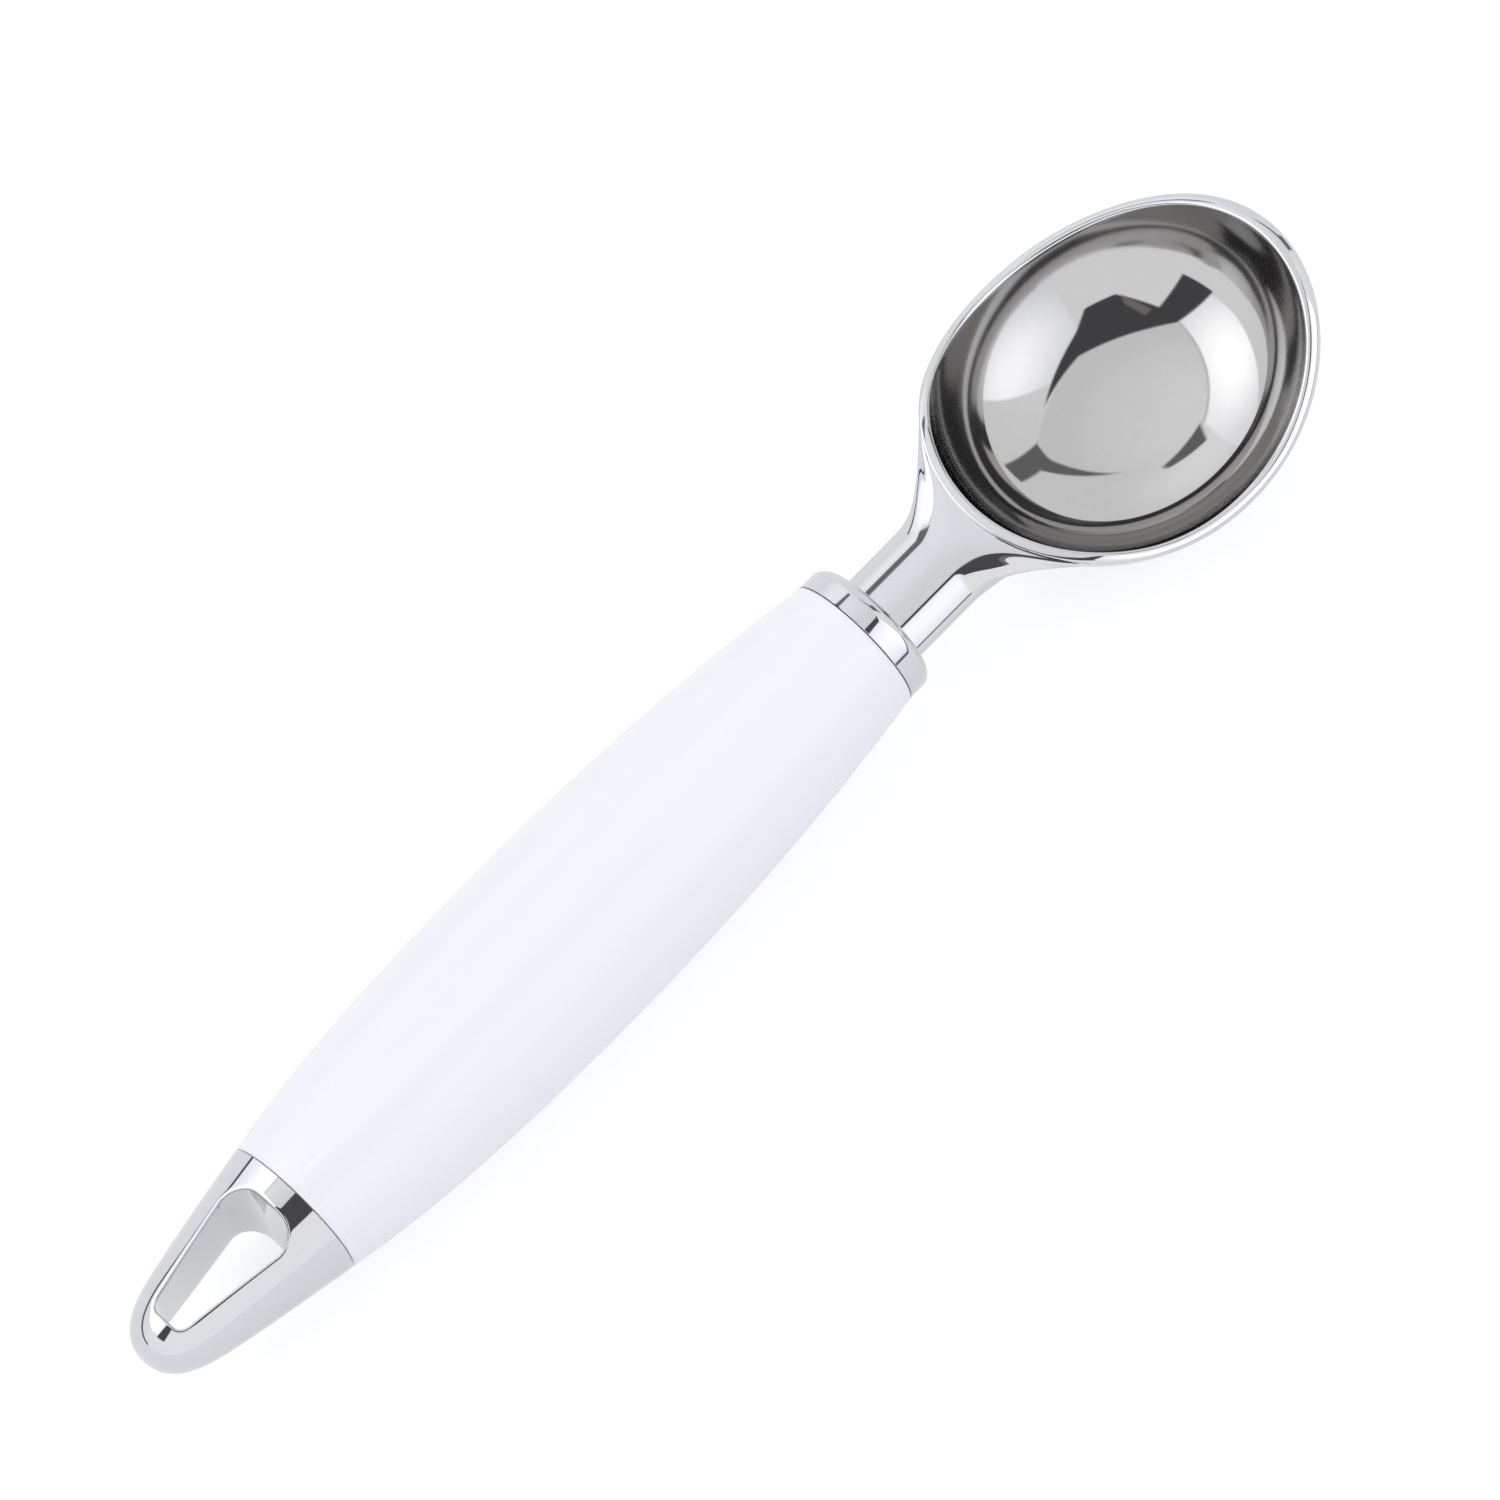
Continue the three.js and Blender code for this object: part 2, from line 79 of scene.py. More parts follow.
flare_wing_turn = math.radians(42)
flare_beyond = 1.08
neck_pulls = (13.0, 4.0, 18.0)
bowl_pulls = (4.0, 9.0, 9.0)
tang_size = (10.0, 6.0, 1.2)
tang_end = 85.8
tapped_radius = 2.15
tapped_depth = 12.0
head_columns = 360
neck_rows = 7
flare_rows = 56
outer_rows = 70
band_rows = 14
edge_rows = 6
inner_rows = 84
inner_crowding = 1.25
search_steps = 50
weld_distance_m = 2e-6
sharp_edge = math.radians(40)

seat = next(mount for mount in frame["record"]["mounts"] if mount["name"] == "hook_seat")
seat_station = 4.7
lean = math.atan2(seat["axis"][2], seat["axis"][0])
to_metres = Matrix.Scale(0.001, 4)
from_seat = Matrix.Translation((-seat_station, 0, 0))
set_down = Matrix.Translation(seat["pos_m"]) @ Matrix.Rotation(-lean, 4, "Y") @ to_metres @ from_seat


def bezier(t, *points):
    """Where the Bezier curve of these control points is at t, for single points or whole rings."""
    points = [np.asarray(point, float) for point in points]
    while len(points) > 1:
        points = [a + (b - a) * t for a, b in zip(points, points[1:])]
    return points[0]


def section_ring(size, fractions, station, drop, crown):
    """A rounded rectangle across the axis, at fractions of its length from the middle of its top.

    A crown bows its top down to both sides.
    """
    width, height, corner = size
    side = width / 2 - corner
    rise = height / 2 - corner
    quarter = math.pi / 2 * corner
    lengths = [side, quarter, 2 * rise, quarter, 2 * side, quarter, 2 * rise, quarter, side]
    marks = np.concatenate([[0], np.cumsum(lengths)])
    along = np.asarray(fractions) % 1 * marks[-1]
    part = np.clip(np.searchsorted(marks, along, side="right") - 1, 0, len(lengths) - 1)
    rest = along - marks[part]
    turned = np.array([0, 0, 1, 1, 2, 2, 3, 3, 4])[part] * math.pi / 2
    turned = turned + np.where(part % 2 == 1, rest / corner, 0)
    centre_y = np.array([0, side, side, side, side, -side, -side, -side, -side])[part]
    centre_z = np.array([rise, rise, rise, -rise, -rise, -rise, -rise, rise, rise])[part]
    straight = np.where(part % 2 == 0, rest, 0)
    y = centre_y + corner * np.sin(turned) + straight * np.cos(turned)
    z = centre_z + corner * np.cos(turned) - straight * np.sin(turned)
    z -= crown * (2 * y / width) ** 2 * np.clip(2 * z / height, 0, 1)
    return np.stack([np.full_like(y, station), y, z - drop], axis=-1)


def skin_point(skin, turn, lift):
    """A point of one of the bowl's skins, by its turn about the upright and its lift from the bottom."""
    spread = np.sin(lift) ** (2 / fullness)
    sink = np.clip(np.cos(lift), 0, 1) ** (2 / fullness)
    x = skin["centre"] + skin["length"] * spread * np.cos(turn)
    y = skin["width"] * spread * np.sin(turn)
    return np.stack([x, y, centre_height - skin["depth"] * sink], axis=-1)


def bow(radius, offset):
    """How far an arc has come away from its flat at this offset from its middle."""
    return radius - np.sqrt(np.clip(radius**2 - offset**2, 0, None))


def eased(value, start, end):
    t = np.clip((value - start) / (end - start), 0, 1)
    return t * t * (3 - 2 * t)


def rim_height(station):
    """The rim dips in an arc seen from the side, and levels out in the arc of a crest at the heel."""
    to_turn = rim_low_station - rim_turn_station
    crest_arc = rim_arc * (rim_turn_station - rim_crest_station) / to_turn
    crest_height = rim_low_height + bow(rim_arc, to_turn) * (1 + crest_arc / rim_arc)
    dip = rim_low_height + bow(rim_arc, station - rim_low_station)
    crest = crest_height - bow(crest_arc, station - rim_crest_station)
    return np.where(station < rim_turn_station, crest, dip)


def rim_drop(station):
    """How far the rim's outer edge lies below its inner edge: least at the heel, most at the tip."""
    heel, side, tip = rim_drops
    past_heel = eased(station, hollow["centre"] - hollow["length"], rim_turn_station)
    to_tip = eased(station, rim_low_station, hollow["centre"] + hollow["length"])
    return heel + (side - heel) * past_heel + (tip - side) * to_tip


def searched(low, high, inside):
    """The last values between low and high that are still inside."""
    for _ in range(search_steps):
        middle = (low + high) / 2
        keep = inside(middle)
        low = np.where(keep, middle, low)
        high = np.where(keep, high, middle)
    return low


def lift_at_rim(skin, turn, share, margin):
    """How far up a skin its edge is, at a share of the rim's drop and a margin below the rim."""

    def inside(lift):
        point = skin_point(skin, turn, lift)
        edge = rim_height(point[:, 0]) - share * rim_drop(point[:, 0]) - margin
        return point[:, 2] < edge

    return searched(np.zeros_like(turn), np.full_like(turn, math.pi / 2), inside)


def heel_point(y, z):
    """Where the outer skin stands at the heel, seen from the neck."""
    sink = (centre_height - z) / outside["depth"]
    spread = (1 - sink**fullness) ** (2 / fullness)
    reach = outside["length"] * np.sqrt(spread - (y / outside["width"]) ** 2)
    return np.stack([outside["centre"] - reach, y, z], axis=-1)


def heel_loop(turn, grow):
    """A loop on the heel, with its wide flat top along the rim and its narrow bottom under the neck."""
    up = np.cos(turn)
    spread = np.where(up > 0, flare_top_spread, flare_bottom_narrowing)
    y = flare_half_width * np.sin(turn) * (1 + spread * up * np.abs(up)) * grow
    wall = heel_point(y, np.full_like(y, flare_middle))
    top = rim_height(wall[:, 0]) - rim_drop(wall[:, 0]) - flare_rim_margin
    above = (top - flare_middle) * np.clip(up, 0, 1) ** flare_top_fullness
    below = (flare_underside + flare_middle) * np.clip(up, -1, 0)
    return heel_point(y, flare_middle + (above + below) * grow)


def around_neck(turn, sizes):
    """A size that changes from the top of the neck over its sides to its underside."""
    top, side, underside = sizes
    up = np.cos(turn)
    return (side + (np.where(up > 0, top, underside) - side) * up**2)[:, None]


def chart_of(point):
    """The outer skin spread flat: lift outwards, turn round."""
    sink = (centre_height - point[:, 2]) / outside["depth"]
    lift = np.arccos(np.clip(sink, 0, 1) ** (fullness / 2))
    across = point[:, 1] / outside["width"]
    ahead = (point[:, 0] - outside["centre"]) / outside["length"]
    turn = np.arctan2(across, ahead)
    return lift[:, None] * np.stack([np.cos(turn), np.sin(turn)], axis=-1)


def on_chart(flat):
    lift = np.clip(np.hypot(flat[:, 0], flat[:, 1]), 0, math.pi / 2)
    return skin_point(outside, np.arctan2(flat[:, 1], flat[:, 0]), lift)


def made_piece(name, sheets):
    """A closed mesh from sheets of closed rings of points, each with its material, welded together."""
    points = np.concatenate([np.reshape(rings, (-1, 3)) for rings, _ in sheets])
    mesh = bpy.data.meshes.new(name)
    faces = []
    finishes = []
    start = 0
    for rings, material in sheets:
        if material.name not in mesh.materials:
            mesh.materials.append(material)
        count, columns = np.shape(rings)[:2]
        at = start + np.arange(count * columns).reshape(count, columns)
        beside = np.roll(at, -1, axis=1)
        corners = [at[:-1], beside[:-1], beside[1:], at[1:]]
        faces.extend(np.stack(corners, axis=-1).reshape(-1, 4).tolist())
        finishes.extend([mesh.materials.find(material.name)] * ((count - 1) * columns))
        start += count * columns
    mesh.from_pydata(points.tolist(), [], faces)
    mesh.polygons.foreach_set("material_index", finishes)
    mesh.transform(set_down)
    welded = bmesh.new()
    welded.from_mesh(mesh)
    bmesh.ops.remove_doubles(welded, verts=welded.verts, dist=weld_distance_m)
    bmesh.ops.recalc_face_normals(welded, faces=welded.faces)
    welded.to_mesh(mesh)
    welded.free()
    mesh.shade_smooth()
    mesh.set_sharp_from_angle(angle=sharp_edge)
    piece = bpy.data.objects.new(name, mesh)
    bpy.context.scene.collection.objects.link(piece)
    return piece


def linear(hex_colour):
    """An sRGB hex colour as linear RGBA."""
    channels = [int(hex_colour[i : i + 2], 16) / 255 for i in (1, 3, 5)]
    return [c / 12.92 if c <= 0.04045 else ((c + 0.055) / 1.055) ** 2.4 for c in channels] + [1.0]


def add_node(tree, kind, links=None, **settings):
    """Adds a node with its settings, and links or sets its inputs by name or number."""
    node = tree.nodes.new(kind)
    for name, value in settings.items():
        setattr(node, name, value)
    for socket, value in (links or {}).items():
        if isinstance(value, bpy.types.NodeSocket):
            tree.links.new(value, node.inputs[socket])
        else:
            node.inputs[socket].default_value = value
    return node


def blank_material(name):
    material = bpy.data.materials.new(name)
    material.use_nodes = True
    material.node_tree.nodes.clear()
    return material, material.node_tree


def chrome_plating(name, dull, bright, wall_haze):
    """Decorative chrome over polished zinc: a mirror with the faint ripple and haze of buffing.

    Steep walls, whose normals have a small upright share, can be hazier, because a buffing wheel
    doesn't reach them well.
    """
    ripple_mm = 7.0
    ripple_height_mm = 0.0015
    haze_mm = 1.2
    clear = 0.025
    cloudy = 0.06
    wall_starts = 0.8
    wall_full = 0.6
    material, tree = blank_material(name)
    place = add_node(tree, "ShaderNodeTexCoord").outputs["Object"]
    ripple = add_node(
        tree, "ShaderNodeTexNoise", {"Vector": place, "Scale": 1000 / ripple_mm, "Detail": 1.0}
    )
    bump = add_node(
        tree,
        "ShaderNodeBump",
        {"Height": ripple.outputs["Fac"], "Strength": 1.0, "Distance": ripple_height_mm / 1000},
    )
    haze = add_node(
        tree, "ShaderNodeTexNoise", {"Vector": place, "Scale": 1000 / haze_mm, "Detail": 3.0}
    )
    polish = add_node(
        tree, "ShaderNodeMapRange", {"Value": haze.outputs["Fac"], "To Min": clear, "To Max": cloudy}
    )
    facing = add_node(tree, "ShaderNodeNewGeometry").outputs["Normal"]
    upwards = add_node(tree, "ShaderNodeSeparateXYZ", {0: facing}).outputs["Z"]
    steep = add_node(
        tree,
        "ShaderNodeMapRange",
        {
            "Value": upwards,
            "From Min": wall_starts,
            "From Max": wall_full,
            "To Min": 0.0,
            "To Max": wall_haze,
        },
    )
    rough = add_node(
        tree,
        "ShaderNodeMath",
        {0: polish.outputs["Result"], 1: steep.outputs["Result"]},
        operation="ADD",
    )
    tint = add_node(
        tree,
        "ShaderNodeMix",
        {0: haze.outputs["Fac"], 6: linear(dull), 7: linear(bright)},
        data_type="RGBA",
    )
    shader = add_node(
        tree,
        "ShaderNodeBsdfPrincipled",
        {
            "Base Color": tint.outputs[2],
            "Metallic": 1.0,
            "Roughness": rough.outputs["Value"],
            "Normal": bump.outputs["Normal"],
        },
    )
    add_node(tree, "ShaderNodeOutputMaterial", {"Surface": shader.outputs["BSDF"]})
    return material


chrome = chrome_plating("bright_chrome_on_polished_zinc", "#C6C7CA", "#CACBCD", 0.0)
# The hollow's darker, warmer chrome tint is painted shade, standing in for the bowl's shade on its own
# reflections.
hollow_chrome_with_painted_shade = chrome_plating("chrome_in_the_hollow_with_painted_shade", "#B6B5B4", "#BAB9B8", 0.07)

fractions = np.arange(head_columns) / head_columns
turns = fractions * 2 * math.pi

tapped_bottom = tang_end + tapped_depth
hole_ring = np.stack([np.zeros(head_columns), np.sin(turns), np.cos(turns)], axis=-1) * tapped_radius
head_rings = [
    np.tile([tapped_bottom, 0.0, 0.0], (head_columns, 1)),
    hole_ring + [tapped_bottom, 0, 0],
    hole_ring + [tang_end, 0, 0],
    section_ring(tang_size, fractions, tang_end, 0, 0),
    section_ring(tang_size, fractions, neck_shoulder, 0, 0),
]
for station in np.linspace(neck_shoulder, flare_start, neck_rows):
    head_rings.append(section_ring(neck_size, fractions, station, neck_drop, neck_crown))

neck_ring = section_ring(neck_size, fractions, flare_start, neck_drop, neck_crown)
loop = heel_loop(turns, 1.0)
along_wall = heel_loop(turns, flare_beyond) - loop
along_wall /= np.linalg.norm(along_wall, axis=1)[:, None]
along_axis = np.array([1.0, 0, 0])
level = np.clip(np.cos(turns), 0, 1)[:, None] ** 2
leaving = neck_ring + along_axis * around_neck(turns, neck_pulls) / 3
arriving = loop - bezier(level, along_wall, along_axis) * around_neck(turns, bowl_pulls) / 3
for t in np.linspace(0, 1, flare_rows + 1)[1:]:
    head_rings.append(bezier(t, neck_ring, leaving, arriving, loop))

half_turns = np.where(turns > math.pi, 2 * math.pi - turns, turns)
flat_loop = chart_of(loop)
flat_wing = chart_of(heel_loop(np.array([flare_wing_turn]), 1.0))
wing_turn = np.arctan2(flat_wing[:, 1], flat_wing[:, 0])
straight_up = np.abs(np.arctan2(flat_loop[:, 1], flat_loop[:, 0]))
fanned = wing_turn * (math.pi - half_turns) / (math.pi - flare_wing_turn)
side_sign = np.where(turns > math.pi, -1, 1)
rim_turns = np.where(half_turns < flare_wing_turn, straight_up, fanned) * side_sign
rim_ways = np.stack([np.cos(rim_turns), np.sin(rim_turns)], axis=-1)
flat_rim = lift_at_rim(outside, rim_turns, 1.0, 0.0)[:, None] * rim_ways
for t in np.linspace(0, 1, outer_rows + 1)[1:]:
    head_rings.append(on_chart(flat_loop + (flat_rim - flat_loop) * t))

outer_edge = on_chart(flat_rim)
inner_lift = lift_at_rim(hollow, rim_turns, 0.0, 0.0)
inner_edge = skin_point(hollow, rim_turns, inner_lift)
shoulder = np.column_stack([outer_edge[:, :2], inner_edge[:, 2]])
wall_lift = lift_at_rim(hollow, rim_turns, 0.0, rim_edge_round)
wall_top = skin_point(hollow, rim_turns, wall_lift)
band_end = 1 - rim_edge_round / rim_width
for t in np.linspace(0, band_end, band_rows + 1)[1:]:
    head_rings.append(bezier(t, outer_edge, shoulder, inner_edge))
band_top = head_rings[-1]
for t in np.linspace(0, 1, edge_rows + 1)[1:]:
    head_rings.append(bezier(t, band_top, inner_edge, wall_top))
hollow_rings = [wall_top]
for t in np.linspace(1, 0, inner_rows + 1)[1:]:
    hollow_rings.append(skin_point(hollow, rim_turns, wall_lift * t**inner_crowding))

head = made_piece("chromed_head", [(head_rings, chrome), (hollow_rings, hollow_chrome_with_painted_shade)])
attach(head, "root")
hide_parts("scoop_head")

# Ferrule: the chromed ring that ends the handle at the neck.
# It is cast and polished like the head, well rounded at the front, and its pocket holds the neck.
ferrule_rear = 122.12
ferrule_front = 125.9
ferrule_radius = 9.4
ferrule_round = 1.7
ferrule_floor = 1.48
ferrule_break = 0.06
slip_fit = 0.3
ferrule_columns = 240
round_rows = 14

ferrule_steps = np.arange(ferrule_columns) / ferrule_columns
ferrule_turns = ferrule_steps * 2 * math.pi


def circle_ring(station, radius, turn):
    return np.stack([np.full_like(turn, station), radius * np.sin(turn), radius * np.cos(turn)], axis=-1)


def with_slip(size):
    width, height, corner = size
    return (width + 2 * slip_fit, height + 2 * slip_fit, corner + slip_fit)


slot_size = with_slip(tang_size)
pocket_size = with_slip(neck_size)
pocket_floor = ferrule_rear + ferrule_floor
ferrule_rings = [
    section_ring(slot_size, ferrule_steps, ferrule_rear, 0, 0),
    circle_ring(ferrule_rear, ferrule_radius - ferrule_break, ferrule_turns),
    circle_ring(ferrule_rear + ferrule_break, ferrule_radius, ferrule_turns),
]
for angle in np.linspace(0, math.pi / 2, round_rows):
    ferrule_rings.append(
        circle_ring(
            ferrule_front - ferrule_round * (1 - math.sin(angle)),
            ferrule_radius - ferrule_round * (1 - math.cos(angle)),
            ferrule_turns,
        )
    )
ferrule_rings += [
    section_ring(pocket_size, ferrule_steps, ferrule_front, neck_drop, neck_crown),
    section_ring(pocket_size, ferrule_steps, pocket_floor, neck_drop, neck_crown),
    section_ring(slot_size, ferrule_steps, pocket_floor, 0, 0),
    section_ring(slot_size, ferrule_steps, ferrule_rear, 0, 0),
]
ferrule = made_piece("chromed_ferrule", [(ferrule_rings, chrome)])
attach(ferrule, "root")
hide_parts("front_ferrule")

# Gasket and cap seal: a flat ring under the ferrule and an O-ring on the cap's spigot.
# Both are moulded in silicone rubber and stay inside the handle, where they keep water out.


def moulded_silicone():
    """Silicone rubber: dark, matt and slightly cloudy, with the fine skin of its mould."""
    skin_mm = 0.25
    skin_height_mm = 0.01
    material, tree = blank_material("moulded_silicone_rubber")
    place = add_node(tree, "ShaderNodeTexCoord").outputs["Object"]
    skin = add_node(
        tree, "ShaderNodeTexNoise", {"Vector": place, "Scale": 1000 / skin_mm, "Detail": 2.0}
    )
    tint = add_node(
        tree,
        "ShaderNodeMix",
        {0: skin.outputs["Fac"], 6: linear("#35383B"), 7: linear("#414447")},
        data_type="RGBA",
    )
    bump = add_node(
        tree,
        "ShaderNodeBump",
        {"Height": skin.outputs["Fac"], "Strength": 0.4, "Distance": skin_height_mm / 1000},
    )
    shader = add_node(
        tree,
        "ShaderNodeBsdfPrincipled",
        {"Base Color": tint.outputs[2], "Roughness": 0.7, "IOR": 1.41, "Normal": bump.outputs["Normal"]},
    )
    add_node(tree, "ShaderNodeOutputMaterial", {"Surface": shader.outputs["BSDF"]})
    return material


def dress(nodes, material):
    for node in nodes:
        frame["nodes"][node].data.materials.clear()
        frame["nodes"][node].data.materials.append(material)


dress(["front_gasket", "cap_seal"], moulded_silicone())

# Clamp screw and washers: they pull the tang against the web inside the handle.
# They are turned and stamped steel with a bright zinc plating.


def bright_zinc():
    """Zinc plating on steel: a soft bluish grey metal with a faint crystal mottle."""
    mottle_mm = 0.6
    material, tree = blank_material("bright_zinc_plated_steel")
    place = add_node(tree, "ShaderNodeTexCoord").outputs["Object"]
    mottle = add_node(tree, "ShaderNodeTexVoronoi", {"Vector": place, "Scale": 1000 / mottle_mm})
    tint = add_node(
        tree,
        "ShaderNodeMix",
        {0: mottle.outputs["Distance"], 6: linear("#A3A8AE"), 7: linear("#B1B3B4")},
        data_type="RGBA",
    )
    rough = add_node(
        tree, "ShaderNodeMapRange", {"Value": mottle.outputs["Distance"], "To Min": 0.28, "To Max": 0.42}
    )
    shader = add_node(
        tree,
        "ShaderNodeBsdfPrincipled",
        {"Base Color": tint.outputs[2], "Metallic": 1.0, "Roughness": rough.outputs["Result"]},
    )
    add_node(tree, "ShaderNodeOutputMaterial", {"Surface": shader.outputs["BSDF"]})
    return material


dress(["clamp_screw", "spring_washer", "flat_washer"], bright_zinc())

# Handle sleeve: the white barrel that the hand holds.
# It is one ABS moulding, bored from the back, with a web for the screw and a slot for the tang.
sleeve_rear = 25.8
sleeve_sizes = {
    "Length": 96.2,
    "Rear Radius": 9.85,
    "Rear Slope": 0.18,
    "Belly Distance": 44.2,
    "Belly Radius": 12.9,
    "Front Radius": 9.4,
    "Front Slope": -0.145,
    "Edge Round": 0.1,
    "Bore Radius": 7.5,
    "Bore Depth": 54.0,
    "Web": 4.5,
    "Screw Hole": 2.3,
    "Recess Radius": 8.5,
    "Recess Depth": 0.7,
    "Slot Width": 10.6,
    "Slot Height": 6.6,
    "Weld Distance": 0.002,
}
sleeve_counts = {"Steps": 72, "Sides": 192}
sleeve_sharp_edge = math.radians(50)


def gloss_abs():
    """Moulded ABS: a clean cool white, softly glossy, with the faint long flow marks of its moulding."""
    flow_length_mm = 60.0
    flow_width_mm = 3.0
    grain_mm = 0.35
    grain_height_mm = 0.004
    material, tree = blank_material("white_gloss_abs_moulded")
    place = add_node(tree, "ShaderNodeTexCoord").outputs["Object"]
    stretched = add_node(
        tree,
        "ShaderNodeMapping",
        {"Vector": place, "Scale": (1000 / flow_length_mm, 1000 / flow_width_mm, 1000 / flow_width_mm)},
    )
    flow = add_node(
        tree,
        "ShaderNodeTexNoise",
        {"Vector": stretched.outputs["Vector"], "Scale": 1.0, "Detail": 2.0},
    )
    grain = add_node(
        tree, "ShaderNodeTexNoise", {"Vector": place, "Scale": 1000 / grain_mm, "Detail": 2.0}
    )
    tint = add_node(
        tree,
        "ShaderNodeMix",
        {0: flow.outputs["Fac"], 6: linear("#E1E3E7"), 7: linear("#E6E8EC")},
        data_type="RGBA",
    )
    rough = add_node(
        tree, "ShaderNodeMapRange", {"Value": flow.outputs["Fac"], "To Min": 0.2, "To Max": 0.3}
    )
    bump = add_node(
        tree,
        "ShaderNodeBump",
        {"Height": grain.outputs["Fac"], "Strength": 0.15, "Distance": grain_height_mm / 1000},
    )
    shader = add_node(
        tree,
        "ShaderNodeBsdfPrincipled",
        {
            "Base Color": tint.outputs[2],
            "Roughness": rough.outputs["Result"],
            "IOR": 1.53,
            "Normal": bump.outputs["Normal"],
        },
    )
    add_node(tree, "ShaderNodeOutputMaterial", {"Surface": shader.outputs["BSDF"]})
    return material


def turned_sleeve_tree(material):
    """A tree that turns the sleeve's outline about Z and cuts the slot, from sizes in millimetres."""
    tree = bpy.data.node_groups.new("turned_sleeve", "GeometryNodeTree")
    tree.interface.new_socket("Geometry", in_out="OUTPUT", socket_type="NodeSocketGeometry")
    named = {}
    for name in sleeve_sizes:
        named[name] = tree.interface.new_socket(name, in_out="INPUT", socket_type="NodeSocketFloat")
    for name in sleeve_counts:
        named[name] = tree.interface.new_socket(name, in_out="INPUT", socket_type="NodeSocketInt")
    size = add_node(tree, "NodeGroupInput").outputs

    def worked(operation, a, b):
        return add_node(tree, "ShaderNodeMath", {0: a, 1: b}, operation=operation).outputs[0]

    def outline_point(station, radius):
        """A point of the outline, measured from the belly's radius, where the turning circle runs."""
        inward = worked("SUBTRACT", radius, size["Belly Radius"])
        down = worked("MULTIPLY", station, -1.0)
        return add_node(tree, "ShaderNodeCombineXYZ", {"X": inward, "Y": down}).outputs[0]

    def curve(start, start_slope, end, end_slope):
        """A stretch of the barrel between two (station, radius) places with a set slope at each."""
        third = worked("DIVIDE", worked("SUBTRACT", end[0], start[0]), 3.0)
        ahead = worked("ADD", start[1], worked("MULTIPLY", start_slope, third))
        behind = worked("SUBTRACT", end[1], worked("MULTIPLY", end_slope, third))
        return add_node(
            tree,
            "GeometryNodeCurvePrimitiveBezierSegment",
            {
                "Resolution": size["Steps"],
                "Start": outline_point(*start),
                "Start Handle": outline_point(worked("ADD", start[0], third), ahead),
                "End Handle": outline_point(worked("SUBTRACT", end[0], third), behind),
                "End": outline_point(*end),
            },
            mode="POSITION",
        ).outputs[0]

    rear_edge = (size["Edge Round"], size["Rear Radius"])
    belly = (size["Belly Distance"], size["Belly Radius"])
    front_edge = (worked("SUBTRACT", size["Length"], size["Edge Round"]), size["Front Radius"])
    strips = [
        curve(rear_edge, size["Rear Slope"], belly, 0.0),
        curve(belly, 0.0, front_edge, size["Front Slope"]),
    ]

    recess_floor = worked("SUBTRACT", size["Length"], size["Recess Depth"])
    inner_outline = [
        front_edge,
        (size["Length"], worked("SUBTRACT", size["Front Radius"], size["Edge Round"])),
        (size["Length"], size["Recess Radius"]),
        (recess_floor, size["Recess Radius"]),
        (recess_floor, size["Screw Hole"]),
        (size["Bore Depth"], size["Screw Hole"]),
        (size["Bore Depth"], size["Bore Radius"]),
        (0.0, size["Bore Radius"]),
        (0.0, worked("SUBTRACT", size["Rear Radius"], size["Edge Round"])),
        rear_edge,
    ]
    for start, end in zip(inner_outline, inner_outline[1:]):
        strips.append(
            add_node(
                tree,
                "GeometryNodeCurvePrimitiveLine",
                {"Start": outline_point(*start), "End": outline_point(*end)},
                mode="POINTS",
            ).outputs[0]
        )
    outline = add_node(tree, "GeometryNodeJoinGeometry")
    for strip in strips:
        tree.links.new(strip, outline.inputs[0])

    circle = add_node(
        tree,
        "GeometryNodeCurvePrimitiveCircle",
        {"Resolution": size["Sides"], "Radius": size["Belly Radius"]},
        mode="RADIUS",
    )
    turned = add_node(
        tree,
        "GeometryNodeCurveToMesh",
        {"Curve": circle.outputs["Curve"], "Profile Curve": outline.outputs[0]},
    )
    weld = add_node(
        tree,
        "GeometryNodeMergeByDistance",
        {"Geometry": turned.outputs[0], "Distance": size["Weld Distance"]},
    )

    web_front = worked("ADD", size["Bore Depth"], size["Web"])
    slot_length = worked("SUBTRACT", size["Length"], web_front)
    slot_size_xyz = add_node(
        tree,
        "ShaderNodeCombineXYZ",
        {"X": size["Slot Width"], "Y": size["Slot Height"], "Z": slot_length},
    )
    slot_centre = worked("ADD", web_front, worked("DIVIDE", slot_length, 2.0))
    slot_place = add_node(tree, "ShaderNodeCombineXYZ", {"Z": slot_centre})
    block = add_node(tree, "GeometryNodeMeshCube", {"Size": slot_size_xyz.outputs[0]})
    slot_block = add_node(
        tree,
        "GeometryNodeTransform",
        {"Geometry": block.outputs[0], "Translation": slot_place.outputs[0]},
    )
    cut = add_node(
        tree,
        "GeometryNodeMeshBoolean",
        {"Mesh 1": weld.outputs[0], "Mesh 2": slot_block.outputs[0]},
        operation="DIFFERENCE",
        solver="EXACT",
    )
    real = add_node(tree, "GeometryNodeRealizeInstances", {"Geometry": cut.outputs["Mesh"]})
    dressed = add_node(
        tree, "GeometryNodeSetMaterial", {"Geometry": real.outputs[0], "Material": material}
    )
    add_node(tree, "NodeGroupOutput", {0: dressed.outputs[0]})
    return tree, named


